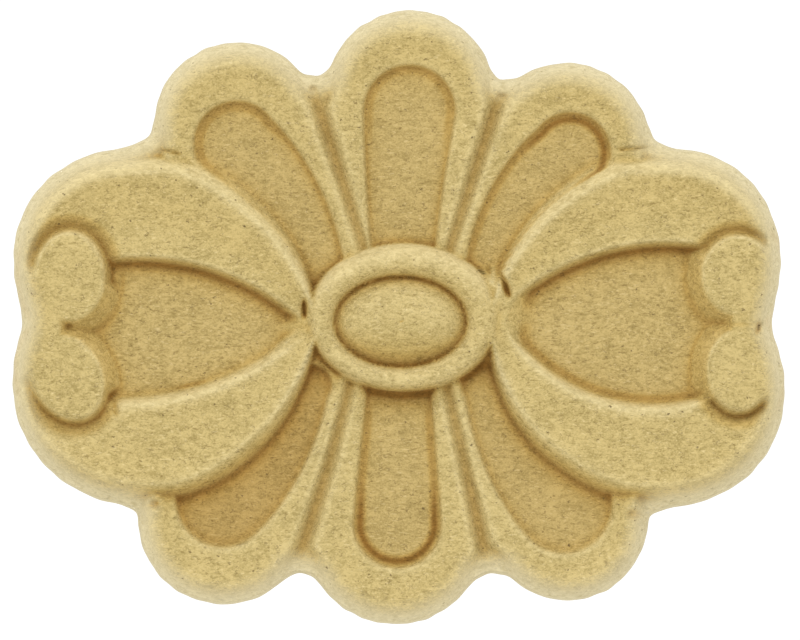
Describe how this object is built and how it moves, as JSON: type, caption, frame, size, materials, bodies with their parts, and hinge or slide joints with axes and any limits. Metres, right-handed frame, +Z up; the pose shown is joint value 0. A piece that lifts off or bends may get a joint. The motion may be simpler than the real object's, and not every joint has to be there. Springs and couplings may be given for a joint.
{
  "type": "oval rosette applique",
  "caption": "Oval wood-pulp rosette with hollowed petals, scroll leaves with round ends and a ringed boss, flat at the back, to fix on furniture or a wall.",
  "frame": {"origin": "on the flat back face, behind the middle of the oval", "axes": "+X to the viewer's right, +Z up, the carved face toward -Y, the flat back at y = 0 facing +Y"},
  "size_m": [0.0602, 0.007, 0.0479],
  "materials": {
    "wood": "bare pressed wood pulp, matt, pale straw with darker hollows"
  },
  "bodies": {
    "root": {"applique": "wood"}
  },
  "joints": []
}
